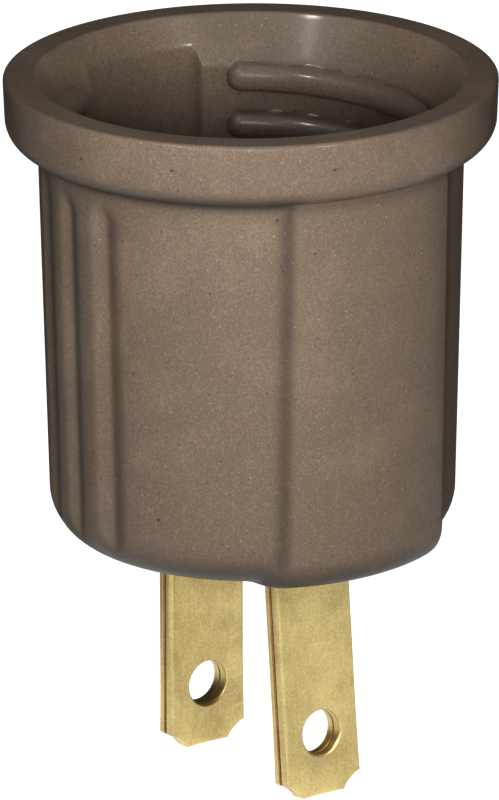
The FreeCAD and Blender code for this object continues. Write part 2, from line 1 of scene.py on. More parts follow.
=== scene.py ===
import bpy
import bmesh
import math
import numpy as np
from mathutils import Matrix, Vector


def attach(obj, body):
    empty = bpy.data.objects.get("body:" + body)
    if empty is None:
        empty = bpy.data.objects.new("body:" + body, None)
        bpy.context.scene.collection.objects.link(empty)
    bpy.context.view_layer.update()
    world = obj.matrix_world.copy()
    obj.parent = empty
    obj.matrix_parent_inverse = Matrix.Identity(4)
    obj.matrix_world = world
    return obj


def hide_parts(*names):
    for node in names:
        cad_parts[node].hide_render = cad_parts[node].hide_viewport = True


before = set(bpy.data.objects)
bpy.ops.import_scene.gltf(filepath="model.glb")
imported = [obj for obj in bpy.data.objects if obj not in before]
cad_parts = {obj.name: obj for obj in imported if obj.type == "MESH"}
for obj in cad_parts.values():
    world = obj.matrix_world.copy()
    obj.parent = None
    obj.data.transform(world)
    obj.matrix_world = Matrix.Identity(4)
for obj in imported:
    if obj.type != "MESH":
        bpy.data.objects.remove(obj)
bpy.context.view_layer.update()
millimetre = 0.001

# The scene is in metres, the sizes below are in millimetres. Origin: middle of the
# plug face. +Z: up through the mouth. +X: towards the blade that leans.


# Helpers for materials and meshes

def linear(hexCode):
    # sRGB hex to linear light
    values = [int(hexCode[i:i + 2], 16) / 255 for i in (1, 3, 5)]
    return tuple(v / 12.92 if v <= 0.04045 else ((v + 0.055) / 1.055) ** 2.4 for v in values) + (1.0,)


def addNode(tree, kind, inputs=None, **settings):
    # a node with its settings; an input takes a value, a socket, or another node for
    # that node's first output
    node = tree.nodes.new(kind)
    for key, value in settings.items():
        setattr(node, key, value)
    for key, value in (inputs or {}).items():
        if isinstance(value, bpy.types.Node):
            value = value.outputs[0]
        if isinstance(value, bpy.types.NodeSocket):
            tree.links.new(value, node.inputs[key])
        else:
            node.inputs[key].default_value = value
    return node


def startMaterial(name, look):
    # an empty material, the object coordinates as its place, and its noise patterns,
    # each as wide as its size in millimetres; a fourth value turns or stretches one
    material = bpy.data.materials.new(name)
    material.use_nodes = True
    tree = material.node_tree
    tree.nodes.clear()
    place = addNode(tree, "ShaderNodeTexCoord").outputs["Object"]
    pattern = {"place": place}
    for key, (width, detail, rough, *turned) in look["patterns"].items():
        where = place
        if turned:
            where = addNode(tree, "ShaderNodeMapping", {"Vector": place, **turned[0]})
        pattern[key] = addNode(tree, "ShaderNodeTexNoise", {
            "Vector": where, "Scale": 1 / (width * millimetre), "Detail": detail, "Roughness": rough})
    return material, tree, pattern


def finishMaterial(tree, look, pattern):
    # layers of colour over the base, each growing with its pattern from one value to
    # another; then the roughness, the bumps and the shader's other values
    colour = linear(look["base"])
    for key, start, full, strength, tint in look["layers"]:
        share = addNode(tree, "ShaderNodeMapRange", {
            "Value": pattern[key], "From Min": start, "From Max": full, "To Max": strength})
        colour = addNode(tree, "ShaderNodeMix", {0: share, 6: colour, 7: linear(look[tint])},
                         data_type="RGBA").outputs[2]
    inputs = {"Base Color": colour, **look["shader"]}
    if "roughness" in look:
        key, start, end, first, last = look["roughness"]
        inputs["Roughness"] = addNode(tree, "ShaderNodeMapRange", {
            "Value": pattern[key], "From Min": start, "From Max": end,
            "To Min": first, "To Max": last})
    bumped = {}
    for key, strength, depth in look.get("bumps", ()):
        bumped = {"Normal": addNode(tree, "ShaderNodeBump", {
            "Height": pattern[key], "Strength": strength, "Distance": depth * millimetre, **bumped})}
    if "glow" in look:
        inputs.update({"Emission Color": colour, "Emission Strength": look["glow"]})
    shader = addNode(tree, "ShaderNodeBsdfPrincipled", {**inputs, **bumped})
    addNode(tree, "ShaderNodeOutputMaterial", {"Surface": shader})


def meshPiece(name, vertices, faces, materials, sharp=35, slots=None):
    # an object at the origin from vertices in millimetres, smooth but for edges that
    # turn by more than the sharp angle
    mesh = bpy.data.meshes.new(name)
    mesh.from_pydata((np.asarray(vertices) * millimetre).tolist(), [], faces)
    for material in materials:
        mesh.materials.append(material)
    if slots is not None:
        mesh.polygons.foreach_set("material_index", slots)
    mesh.validate()
    piece = bpy.data.objects.new(name, mesh)
    bpy.context.scene.collection.objects.link(piece)
    tidyNormals(piece, sharp)
    return piece


def tidyNormals(piece, sharp):
    # merges the doubles along seams first, then turns all faces outwards
    work = bmesh.new()
    work.from_mesh(piece.data)
    bmesh.ops.remove_doubles(work, verts=work.verts, dist=0.0005 * millimetre)
    bmesh.ops.recalc_face_normals(work, faces=work.faces)
    work.to_mesh(piece.data)
    work.free()
    piece.data.shade_smooth()
    piece.data.set_sharp_from_angle(angle=math.radians(sharp))


def gridFaces(rows, columns, closed):
    # quads between neighbouring rings of a grid, ring after ring
    last = columns if closed else columns - 1
    row, column = np.meshgrid(np.arange(rows - 1), np.arange(last), indexing="ij")
    a = (row * columns + column).ravel()
    b = (row * columns + (column + 1) % columns).ravel()
    return np.stack([a, b, b + columns, a + columns], axis=1).tolist()


def fillBetween(loops, height):
    # flat face at a height, bounded by the first loop and with the others as holes;
    # gives points and triangles
    work = bmesh.new()
    for loop in loops:
        ring = [work.verts.new((x, y, 0.0)) for x, y in loop]
        for first, second in zip(ring, ring[1:] + ring[:1]):
            work.edges.new((first, second))
    bmesh.ops.triangle_fill(work, use_beauty=True, edges=work.edges)
    work.verts.index_update()
    points = [(v.co.x, v.co.y, height) for v in work.verts]
    triangles = [tuple(v.index for v in face.verts) for face in work.faces]
    work.free()
    return points, triangles


class Pile:
    # gathers points and faces of one mesh
    def __init__(self):
        self.points = np.zeros((0, 3))
        self.faces = []

    def add(self, points, faces):
        first = len(self.points)
        self.points = np.concatenate([self.points, np.asarray(points, dtype=float)])
        self.faces.extend([tuple(first + i for i in face) for face in faces])

    def addRings(self, rings, closed=True):
        self.add(np.concatenate(rings), gridFaces(len(rings), len(rings[0]), closed))


def softMax(a, b, width):
    # the larger of two values, with a round passage about as wide as width
    return (a + b + np.sqrt((a - b) ** 2 + width ** 2)) / 2


def softMin(a, b, width):
    # the smaller of two values, with a round passage about as wide as width
    return (a + b - np.sqrt((a - b) ** 2 + width ** 2)) / 2


def wrap(degrees):
    # the same angle between -180 and 180 degrees
    return (np.asarray(degrees) + 180.0) % 360.0 - 180.0


def arcPoints(cx, cy, radius, start, end, count):
    # evenly spaced points of a circle from one angle to another, in degrees
    angles = np.radians(np.linspace(start, end, count))
    return np.stack([cx + radius * np.cos(angles), cy + radius * np.sin(angles)], axis=1)


def atHeight(loop, height):
    # a flat loop of (x, y) lifted to a height
    return np.column_stack([loop, np.full(len(loop), height)])


# Material of the moulding

# Phenolic moulding compound, pressed hot in a mould: brown and satin, with fine flow
# speckle, faint mottling and a few tiny pits. The flow grain is finer in truth; it is
# drawn 0.15 mm wide, so that it shows.
phenolicLook = {
    "base": "#766656", "dark": "#5C4F44", "light": "#8C7A69",
    # pit and speck colours, and the colour of the painted shade in corners and creases
    "pit": "#241C17", "speck": "#C9B8A6", "paintedShade": "#2B2520",
    # noise: width in millimetres, detail, roughness
    "patterns": {"mottle": (7.0, 3.0, 0.55), "grain": (0.15, 2.0, 0.7), "fleck": (0.45, 1.0, 0.5),
                 "haze": (1.6, 3.0, 0.5), "swell": (3.5, 2.0, 0.5)},
    # dots: spacing in millimetres, radius as a share of it, share of them left out
    "dots": {"pits": (1.7, 0.07, 0.80), "smallPits": (0.75, 0.11, 0.72), "specks": (0.6, 0.10, 0.70)},
    "dotEase": 0.3, "smallPitDepth": 0.6,
    # painted shade in corners, from ambient occlusion: how far they reach in millimetres, openness from
    # and to, amounts
    "cornerReach": 2.0, "corner": (0.4, 0.95, 0.85, 0.0),
    # pattern, value where the layer starts, value where it is full, strength, colour
    "layers": [("mottle", 0.35, 0.65, 1.0, "dark"), ("mottle", 0.5, 0.7, 0.35, "light"),
               ("grain", 0.46, 0.66, 0.75, "dark"), ("grain", 0.44, 0.28, 0.55, "light"),
               ("fleck", 0.60, 0.72, 0.20, "light"), ("specks", 0.0, 1.0, 0.35, "speck"),
               # the last layer is painted shade: corners darkened by ambient occlusion, and the painted
               # shade lines
               ("pits", 0.0, 1.0, 0.8, "pit"), ("paintedShade", 0.0, 1.0, 1.0, "paintedShade")],
    # pattern, from, to, and the roughness at either end
    "roughness": ("haze", 0.3, 0.7, 0.48, 0.58),
    # pattern, strength, depth in millimetres
    "bumps": [("grain", 0.35, 0.02), ("swell", 0.25, 0.06), ("pitHeight", 0.6, 0.05)],
    "shader": {"IOR": 1.5, "Specular IOR Level": 0.22, "Coat Weight": 0.12, "Coat Roughness": 0.16},
}

# Painted shade: a dark line under the rim, fainter over the pads, then along each pad's foot
# and round the lower edge, where little light falls. A line is the product of its bands: what is
# measured, from and to in millimetres, and how much painted shade there is at either end.
paintedShadeSize = {
    "padEdge": 7.1,
    "lines": [
        [("height", 28.6, 29.25, 0.0, 1.0), ("height", 29.72, 30.9, 1.0, 0.0),
         ("side", 6.4, 7.3, 0.45, 1.0), ("radius", 14.3, 14.6, 0.0, 1.0)],
        [("fromPadEdge", 0.05, 0.55, 0.5, 0.0), ("height", 29.4, 29.7, 1.0, 0.0),
         ("radius", 14.3, 14.6, 0.0, 1.0)],
        [("height", 0.3, 2.6, 0.95, 0.0), ("radius", 10.6, 12.0, 0.0, 1.0)],
    ],
}


def paintedShadeLines(tree, place):
    # painted shade lines: measures each point in its height, its distance from the axis, from the middle
    # plane and from a pad's edge; at each point the strongest line counts
    x, y, z = addNode(tree, "ShaderNodeSeparateXYZ", {"Vector": place}).outputs
    flat = addNode(tree, "ShaderNodeCombineXYZ", {"X": x, "Y": y})
    radius = addNode(tree, "ShaderNodeVectorMath", {0: flat}, operation="LENGTH").outputs["Value"]
    side = addNode(tree, "ShaderNodeMath", {0: y}, operation="ABSOLUTE")
    away = addNode(tree, "ShaderNodeMath", {0: side, 1: paintedShadeSize["padEdge"] * millimetre},
                   operation="SUBTRACT")
    away = addNode(tree, "ShaderNodeMath", {0: away}, operation="ABSOLUTE")
    measure = {"height": z, "radius": radius, "side": side, "fromPadEdge": away}
    lineShade = 0.0
    for bands in paintedShadeSize["lines"]:
        line = 1.0
        for key, start, end, first, last in bands:
            band = addNode(tree, "ShaderNodeMapRange", {
                "Value": measure[key], "From Min": start * millimetre, "From Max": end * millimetre,
                "To Min": first, "To Max": last})
            line = addNode(tree, "ShaderNodeMath", {0: line, 1: band}, operation="MULTIPLY")
        lineShade = addNode(tree, "ShaderNodeMath", {0: lineShade, 1: line}, operation="MAXIMUM")
    return lineShade


def phenolicMaterial():
    # dots are discs round the middles of scattered cells, most of them left out; painted shade lies
    # where a corner is closed in, from ambient occlusion, and along the painted shade lines
    look = phenolicLook
    material, tree, pattern = startMaterial("phenolicSatinBrown", look)
    for key, (spacing, radius, leftOut) in look["dots"].items():
        cells = addNode(tree, "ShaderNodeTexVoronoi", {
            "Vector": pattern["place"], "Scale": 1 / (spacing * millimetre)})
        disc = addNode(tree, "ShaderNodeMapRange", {
            "Value": cells.outputs["Distance"], "From Min": radius * (1 - look["dotEase"]),
            "From Max": radius * (1 + look["dotEase"]), "To Min": 1.0, "To Max": 0.0})
        picked = addNode(tree, "ShaderNodeMapRange", {
            "Value": addNode(tree, "ShaderNodeSeparateColor", {"Color": cells.outputs["Color"]}),
            "From Min": leftOut, "From Max": leftOut + 0.03})
        pattern[key] = addNode(tree, "ShaderNodeMath", {0: disc, 1: picked}, operation="MULTIPLY")
    small = addNode(tree, "ShaderNodeMath", {0: pattern["smallPits"], 1: look["smallPitDepth"]},
                    operation="MULTIPLY")
    pits = addNode(tree, "ShaderNodeMath", {0: pattern["pits"], 1: small}, operation="MAXIMUM")
    pattern["pits"] = pits
    pattern["pitHeight"] = addNode(tree, "ShaderNodeMath", {0: pits, 1: -1.0}, operation="MULTIPLY")
    # painted shade in corners: ambient occlusion maps a closed-in corner to the shade's strength
    shade = addNode(tree, "ShaderNodeAmbientOcclusion", {"Distance": look["cornerReach"] * millimetre},
                    samples=6)
    closed, opened, most, least = look["corner"]
    corner = addNode(tree, "ShaderNodeMapRange", {
        "Value": shade.outputs["AO"], "From Min": closed, "From Max": opened,
        "To Min": most, "To Max": least})
    # the painted shade lines under the rim, at the pads' feet and round the lower edge
    lineShade = paintedShadeLines(tree, pattern["place"])
    pattern["paintedShade"] = addNode(tree, "ShaderNodeMath", {0: corner, 1: lineShade}, operation="MAXIMUM")
    finishMaterial(tree, look, pattern)
    return material


# Material of the metal

# Rolled cartridge brass strip, dull from handling: a fine sandy grain, faint rolling
# lines along the strip, soft cloudy tarnish and a few slanting scratches. Grain and
# lines are finer in truth; they are drawn 0.16 and 0.2 mm wide, so that they show.
brassLook = {
    "patterns": {"lines": (0.2, 3.0, 0.6, {"Scale": (1.0, 1.0, 0.08)}),
                 "grain": (0.16, 2.0, 0.7), "cloud": (3.2, 4.0, 0.6),
                 "slant": (0.42, 2.0, 0.5, {"Rotation": (0.35, 0.2, 0.0), "Scale": (0.2, 0.2, 1.0)}),
                 "patches": (2.3, 2.0, 0.5), "dents": (1.9, 2.0, 0.5)},
    "linesAlongX": (0.2, 3.0, 0.6, {"Scale": (0.08, 1.0, 1.0)}),
    # a scratch shows where both patterns are high: value where it starts, where it is full
    "scratches": {"slant": (0.655, 0.70), "patches": (0.45, 0.6)},
    "layers": [("cloud", 0.42, 0.70, 0.7, "dark"), ("lines", 0.45, 0.75, 0.25, "light"),
               ("grain", 0.50, 0.68, 0.55, "dark"), ("grain", 0.46, 0.30, 0.40, "light"),
               ("scratches", 0.0, 1.0, 0.3, "light")],
    "roughness": ("cloud", 0.3, 0.7, 0.38, 0.50),
    "bumps": [("grain", 0.4, 0.012), ("lines", 0.15, 0.008), ("scratches", 0.3, 0.012),
              ("dents", 0.3, 0.04)],
    "shader": {"Metallic": 1.0},
}


# base, dark and light tone, and the axis that the rolling lines follow
brassTones = {
    "bladeBrassRolled": ("#D2BE80", "#AD9760", "#EADDAA", "Z"),
    "contactBrassRolled": ("#C2A666", "#9E834A", "#DDCA94", "X"),
    "rivetBrassDrawn": ("#BFA468", "#957B47", "#D8C592", "Z"),
    # cut and inner faces of the strip: red-brown, duller
    "shearedBrassTarnished": ("#A0703A", "#6E4322", "#C79A5C", "Z"),
}


def brassMaterial(name, base, dark, light, along):
    # one brass in three tones, with its rolling lines along the given axis
    look = dict(brassLook, base=base, dark=dark, light=light)
    if along == "X":
        look["patterns"] = dict(look["patterns"], lines=look["linesAlongX"])
    material, tree, pattern = startMaterial(name, look)
    scratches = 1.0
    for key, (start, full) in look["scratches"].items():
        band = addNode(tree, "ShaderNodeMapRange", {
            "Value": pattern[key], "From Min": start, "From Max": full})
        scratches = addNode(tree, "ShaderNodeMath", {0: scratches, 1: band}, operation="MULTIPLY")
    pattern["scratches"] = scratches
    finishMaterial(tree, look, pattern)
    return material


phenolic = phenolicMaterial()
bladeBrass, contactBrass, rivetBrass, shearedBrass = [
    brassMaterial(name, *tones) for name, tones in brassTones.items()]
print("materials done")


# Housing: sizes and the columns that its two grids share

housingSize = {
    "top": 34.5, "underRim": 29.6, "rimRadius": 17.8, "rimDraft": 0.17, "rimTopRound": 0.35,
    "rimUnderRound": 1.9, "rimCorner": 0.06, "wallRadius": 15.35, "wallDraft": 0.75,
    "bottomRound": 3.6, "mouthRadius": 15.5, "mouthRound": 0.3, "flareFoot": 31.1,
    "bore": 13.4, "floor": 5.0, "floorRound": 0.7, "padHeight": 0.75, "padAngle": 24.5,
    "padEdgeRadius": 15.6, "padRound": 2.3, "padFoot": 0.5, "padSoft": 0.26, "pocket": 14.2,
    "pocketAngle": 20.4, "pocketSoft": 0.6, "crownRadius": 16.7,
}
fluteSize = {"angles": [-81.0, -97.0, -113.0], "depths": [0.6, 0.48, 0.48], "near": 1.5,
             "far": 0.95, "round": 0.3, "steepness": 1.3, "reach": 3.0, "soft": 0.2, "top": 28.1}
ribSize = {"pitch": 3.629, "crest": 12.45, "round": 1.08, "half": 56.4, "depth": 4.3,
           "rows": 4, "lead": 50.0}
plugSize = {"bladeX": 6.35, "slotX": 0.96, "slotY": 3.375, "rivetX": 9.85, "hole": 1.16,
            "counterbore": 2.0, "counterboreTop": 1.0, "brim": 0.3}


def wallAt(z):
    # radius of the drafted wall at a height: it narrows evenly towards the plug face
    h = housingSize
    return h["wallRadius"] - h["wallDraft"] * (h["underRim"] - z) / h["underRim"]


def housingColumns():
    # angles of the columns in degrees: even ones, and closer ones where the shape turns
    # quickly, at the pads, the pockets, the flutes and the ends of the ribs
    h = housingSize
    groups = [np.arange(0.0, 360.0, 1.5)]
    perMillimetre = 180 / math.pi / 15.0
    for middle in (0.0, 180.0):
        for side in (-1, 1):
            pad, pocket = np.arange(-0.7, 3.0, 0.11), np.arange(-0.3, 0.31, 0.06)
            groups.append(middle + side * (h["padAngle"] + pad * perMillimetre))
            groups.append(middle + side * (h["pocketAngle"] + pocket * perMillimetre))
    for angle in fluteSize["angles"]:
        for turn in (0.0, 180.0):
            groups.append(angle + turn + np.arange(-1.4, 2.1, 0.12) * perMillimetre)
    ends = [90 - ribSize["half"], 90 + ribSize["half"]]
    for angle in ends + [a + 180 for a in ends] + [270 - ribSize["half"] + ribSize["lead"]]:
        groups.append(angle + np.arange(-5.6, 5.7, 0.55))
    angles = np.sort(np.concatenate(groups) % 360.0)
    kept = [angles[0]]
    for angle in angles[1:]:
        if angle - kept[-1] > 0.28:
            kept.append(angle)
    return np.array(kept)


theta = housingColumns()
cosT, sinT = np.cos(np.radians(theta)), np.sin(np.radians(theta))


def ringPoints(radius, height):
    # one ring of a grid from the radius and the height at each column
    radius = np.broadcast_to(radius, theta.shape)
    height = np.broadcast_to(height, theta.shape)
    return np.stack([radius * cosT, radius * sinT, height], axis=1)


def padShare(radius, ease=1.0):
    # 1 on a pad, 0 beside it, with a soft S between; a pad's sides run parallel to
    # the X axis, so they take a wider angle where the radius is smaller
    h = housingSize
    edge = math.sin(math.radians(h["padAngle"])) * h["padEdgeRadius"]
    across = np.abs(radius * sinT) - edge
    return 0.5 - 0.5 * np.tanh((across - h["padFoot"]) / (h["padSoft"] * ease))


def fluteRadius(z):
    # radius of the nearest flute's surface: a gentle and a steeper slope that meet in a
    # round bottom, laid along the drafted wall and closed by the same shape at the top
    f = fluteSize
    result = np.full(theta.shape, wallAt(z) + f["reach"])
    over = max(0.0, z - f["top"] + f["near"])
    for angle, depth in zip(f["angles"], f["depths"]):
        for turn in (0.0, 180.0):
            across = np.radians(wrap(theta - angle - turn)) * wallAt(z)
            width = np.where(across > 0, f["near"], f["far"])
            away = np.sqrt((across / width) ** 2 + (over / f["near"]) ** 2)
            rise = depth * (np.sqrt(away ** 2 + f["round"] ** 2) - f["round"]) * f["steepness"]
            surface = wallAt(z) - depth + rise
            near = np.abs(across) < f["reach"]
            result = np.where(near, np.minimum(result, surface), result)
    return result


# Housing: outside

def outerRings():
    # a profile carried round the axis: from the crown over the rim's upper edge, down
    # its drafted side and round below, then down the wall and in to the plug face
    h = housingSize
    roundR, roundZ = h["rimRadius"] - h["rimTopRound"], h["top"] - h["rimTopRound"]
    rings = [ringPoints(h["crownRadius"], h["top"]), ringPoints(roundR - 0.25, h["top"])]
    rings += [ringPoints(r, z) for r, z in arcPoints(roundR, roundZ, h["rimTopRound"], 90, 0, 7)]
    underZ = h["underRim"] + h["rimUnderRound"]
    sideFoot = h["rimRadius"] - h["rimDraft"] * (h["top"] - underZ) / (h["top"] - h["underRim"])
    for share in (0.33, 0.66):
        rings.append(ringPoints(h["rimRadius"] + (sideFoot - h["rimRadius"]) * share,
                                roundZ + (underZ - roundZ) * share))
    under, footZ = underRimRings(sideFoot - h["rimUnderRound"], underZ)
    return rings + under + wallRings(footZ)


def underRimRings(centreR, centreZ, count=16):
    # round the rim's lower edge and in to the wall: in each column a large arc, a flat
    # and a small inner corner, spaced evenly along their length, because the pads come
    # further out than the wall; also gives the height where each column ends
    h = housingSize
    corner = h["rimCorner"]
    inner = h["wallRadius"] + h["padHeight"] * padShare(16.0) + corner
    stop = np.arccos(np.clip((inner - centreR) / h["rimUnderRound"], 0.0, 1.0))
    turn = -np.linspace(0.0, 1.0, 20)[:, None] * stop
    r, z = centreR + h["rimUnderRound"] * np.cos(turn), centreZ + h["rimUnderRound"] * np.sin(turn)
    flatEnd, foot = np.where(centreR - inner > 0.01, inner, r[-1]), z[-1]
    turn = np.radians(np.linspace(90, 180, 6)[1:, None])
    r = np.concatenate([r, [flatEnd], inner + corner * np.cos(turn)])
    z = np.concatenate([z, [foot], foot - corner + corner * np.sin(turn)])
    lengths = np.hypot(np.diff(r, axis=0), np.diff(z, axis=0))
    along = np.concatenate([np.zeros((1, len(theta))), np.cumsum(lengths, axis=0)])
    wanted = np.linspace(0.0, 1.0, count)[:, None] * along[-1]
    before = np.sum(along[None] <= wanted[:, None], axis=1) - 1
    before = np.clip(before, 0, len(along) - 2)
    s0, r0, z0 = [np.take_along_axis(values, before, axis=0) for values in (along, r, z)]
    s1, r1, z1 = [np.take_along_axis(values, before + 1, axis=0) for values in (along, r, z)]
    share = (wanted - s0) / (s1 - s0)
    r, z = r0 + (r1 - r0) * share, z0 + (z1 - z0) * share
    return [ringPoints(*ring) for ring in zip(r, z)], z[-1]


def wallRings(topZ):
    # down the drafted wall, round the lower edge and in to the flat plug face; the
    # flutes are cut in by the smaller radius, the pads blended in by their share; rings
    # lie closer together where the flutes fade out and near the lower edge
    h = housingSize
    flute = fluteSize["soft"]
    rings = []
    shares = np.concatenate([np.linspace(0.02, 0.125, 16), np.linspace(0.16, 0.86, 12),
                             np.linspace(0.89, 1.0, 5)])
    for share in shares:
        z = topZ + (h["bottomRound"] - topZ) * share
        fall = np.clip((share - 0.80) / 0.20, 0.0, 1.0) * (h["bottomRound"] - h["padRound"])
        padZ = z - fall
        base = softMin(wallAt(z), fluteRadius(float(np.median(z))), flute)
        padPart = padShare(base + h["padHeight"] / 2)
        radius = base + (wallAt(padZ) + h["padHeight"] - base) * padPart
        rings.append(ringPoints(radius, z + (padZ - z) * padPart))
    baseEdge = wallAt(0.0) - h["bottomRound"]
    padEdge = wallAt(0.0) + h["padHeight"] - h["padRound"]
    for angle in np.linspace(5.0, 90.0, 16):
        c, s = math.cos(math.radians(angle)), math.sin(math.radians(angle))
        z = h["bottomRound"] * (1 - s)
        base = baseEdge + h["bottomRound"] * c + h["wallDraft"] * z / h["underRim"]
        base = softMin(base, fluteRadius(z), flute) if z > 0.4 else base
        padZ = h["padRound"] * (1 - s)
        pad = padEdge + h["padRound"] * c + h["wallDraft"] * padZ / h["underRim"]
        padPart = padShare((base + pad) / 2, 1 + 1.8 * angle / 90)
        rings.append(ringPoints(base + (pad - base) * padPart, z + (padZ - z) * padPart))
    return rings


def rectangleLoop(cx, halfX, halfY):
    # corners of a rectangle round cx, in order
    return [(cx - halfX, -halfY), (cx + halfX, -halfY), (cx + halfX, halfY), (cx - halfX, halfY)]


def circleLoop(cx, radius, count=40):
    # evenly spaced points of a circle round cx
    turns = np.linspace(0.0, 2 * np.pi, count, endpoint=False)
    return np.stack([cx + radius * np.cos(turns), radius * np.sin(turns)], axis=1)


def makeHousingOutside():
    # the outer grid, closed by the plug face with its slots and counterbores, each a
    # tube up to the floor of the socket
    p, floor = plugSize, housingSize["floor"]
    pile = Pile()
    rings = outerRings()
    pile.addRings(rings)
    holes = []
    for side in (1, -1):
        holes.append(rectangleLoop(side * p["bladeX"], p["slotX"], p["slotY"]))
        holes.append(circleLoop(side * p["rivetX"], p["counterbore"]))
    pile.add(*fillBetween([rings[-1][:, :2]] + holes, 0.0))
    for side in (1, -1):
        bore, hole = [circleLoop(side * p["rivetX"], p[key]) for key in ("counterbore", "hole")]
        pile.addRings([atHeight(bore, 0.0), atHeight(bore, p["counterboreTop"]),
                       atHeight(hole, p["counterboreTop"]), atHeight(hole, floor)])
        slot, brim = [rectangleLoop(side * p["bladeX"], p["slotX"] + grow, p["slotY"])
                      for grow in (0.0, p["brim"])]
        pile.addRings([atHeight(slot, 0.0), atHeight(slot, floor - p["brim"]), atHeight(brim, floor)])
    print("housing outside", len(pile.faces))
    return meshPiece("housingOutside", pile.points, pile.faces, [phenolic], 40)


housingOutside = makeHousingOutside()


# Housing: inside

def ribRadius(z):
    # radius of the nearest rib's surface at this height, and 99 where none is near: a
    # round section whose middle climbs with the angle, closed by a ball at each end
    r = ribSize
    middleR = r["crest"] + r["round"]
    result = np.full(theta.shape, 99.0)
    upper = housingSize["top"] - r["depth"] - r["pitch"] * 2 * r["half"] / 360
    runs = []
    for row in range(r["rows"]):
        runs.append((90 - r["half"], 2 * r["half"], upper - r["pitch"] * row))
        runs.append((270 - r["half"], 2 * r["half"], upper - r["pitch"] / 2 - r["pitch"] * row))
    runs.append((270 - r["half"], r["lead"], upper + r["pitch"] / 2))
    for start, span, height in runs:
        turned = wrap(theta - start - span / 2)
        past = np.radians(np.maximum(np.abs(turned) - span / 2, 0.0))
        along = np.clip(turned + span / 2, 0.0, span)
        offset = z - (height + r["pitch"] * along / 360)
        square = r["round"] ** 2 - offset ** 2 - (middleR * np.sin(past)) ** 2
        surface = middleR * np.cos(past) - np.sqrt(np.maximum(square, 0.0))
        near = (square > 0.0) & (past < 0.2)
        result = np.where(near, np.minimum(result, surface), result)
    return result


def pocketShare():
    # 1 in a pocket, 0 beside it, with a soft S between
    h = housingSize
    away = np.minimum(np.abs(wrap(theta)), np.abs(wrap(theta - 180.0)))
    distance = np.radians(away - h["pocketAngle"]) * (h["bore"] + h["pocket"]) / 2
    t = np.clip(0.5 - distance / h["pocketSoft"], 0.0, 1.0)
    return t * t * (3 - 2 * t)


def innerRings():
    # a profile carried round the axis: from the crown over the mouth's edge, down the
    # flare and the bore, where ribs stand in and pockets lie back, to the floor's edge;
    # rings lie closer together at the flare's foot and over the ribs
    h = housingSize
    pocketPart = pocketShare()
    slope = (h["mouthRadius"] - h["bore"]) / (h["top"] - h["flareFoot"])
    tilt = math.degrees(math.atan(1 / slope))
    startR = h["mouthRadius"] + h["mouthRound"] / math.tan(math.radians(180 - tilt) / 2)
    arc = arcPoints(startR, h["top"] - h["mouthRound"], h["mouthRound"],
                    90, 180 - math.degrees(math.atan(slope)), 6)
    rings = [ringPoints(h["crownRadius"], h["top"]), ringPoints(startR + 0.2, h["top"])]
    rings += [ringPoints(r, z) for r, z in arc]
    heights = np.concatenate([
        np.linspace(arc[-1, 1] - 0.3, 32.75, 6), np.linspace(32.62, 30.9, 15),
        np.arange(30.78, 14.6, -0.125), np.linspace(14.3, h["floor"] + h["floorRound"], 9)])
    pocket = h["bore"] + (h["pocket"] - h["bore"]) * pocketPart
    for z in heights:
        cone = h["bore"] + slope * (z - h["flareFoot"])
        wall = softMax(cone, h["bore"], 0.10)
        wall = np.where(pocketPart > 0.0, softMax(wall, pocket, 0.08), wall)
        rib = ribRadius(z)
        rings.append(ringPoints(np.where(rib < 90.0, softMin(wall, rib, 0.09), wall), z))
    r0 = h["bore"] - h["floorRound"]
    for angle in (15, 30, 45, 60, 75, 90):
        c, s = math.cos(math.radians(angle)), math.sin(math.radians(angle))
        turn = angle / 90
        base = (r0 + h["floorRound"] * c, h["floor"] + h["floorRound"] * (1 - s))
        square = (h["pocket"] - (h["pocket"] - r0) * max(0.0, 2 * turn - 1),
                  h["floor"] + h["floorRound"] * max(0.0, 1 - 2 * turn))
        share = np.where(pocketPart > 0.5, 1.0, 0.0) if angle < 90 else 0.0
        rings.append(ringPoints(base[0] + (square[0] - base[0]) * share,
                                base[1] + (square[1] - base[1]) * share))
    return rings


def makeHousingInside():
    # the inner grid, closed by the floor with its slots and rivet holes
    p = plugSize
    pile = Pile()
    rings = innerRings()
    pile.addRings(rings)
    holes = []
    for side in (1, -1):
        holes.append(rectangleLoop(side * p["bladeX"], p["slotX"] + p["brim"], p["slotY"]))
        holes.append(circleLoop(side * p["rivetX"], p["hole"]))
    pile.add(*fillBetween([rings[-1][:, :2]] + holes, housingSize["floor"]))
    print("housing inside", len(pile.faces))
    return meshPiece("housingInside", pile.points, pile.faces, [phenolic], 40)


housingInside = makeHousingInside()
for piece in (housingOutside, housingInside):
    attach(piece, "root")
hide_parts("housing")


# Plug blades

bladeSize = {
    "x": 6.35, "width": 6.64, "half": 0.82, "leaf": 0.71, "gap": 0.05, "length": 18.15,
    "top": 1.0, "edge": 0.36, "tip": 0.5, "hole": 1.65, "holeEase": 0.2, "holeDepth": 13.42,
    "holeSteps": 72, "notchWide": 1.5, "notchHigh": 1.25, "notchHollow": 0.18, "seamDepth": 0.35,
    "bend": 0.3, "footStart": 0.9, "footEnd": 11.95, "footInner": 3.65, "footEdge": 0.12,
    "floor": 5.0, "soft": 0.22, "step": 0.16, "leanNear": 4.9, "leanFar": 0.0,
}


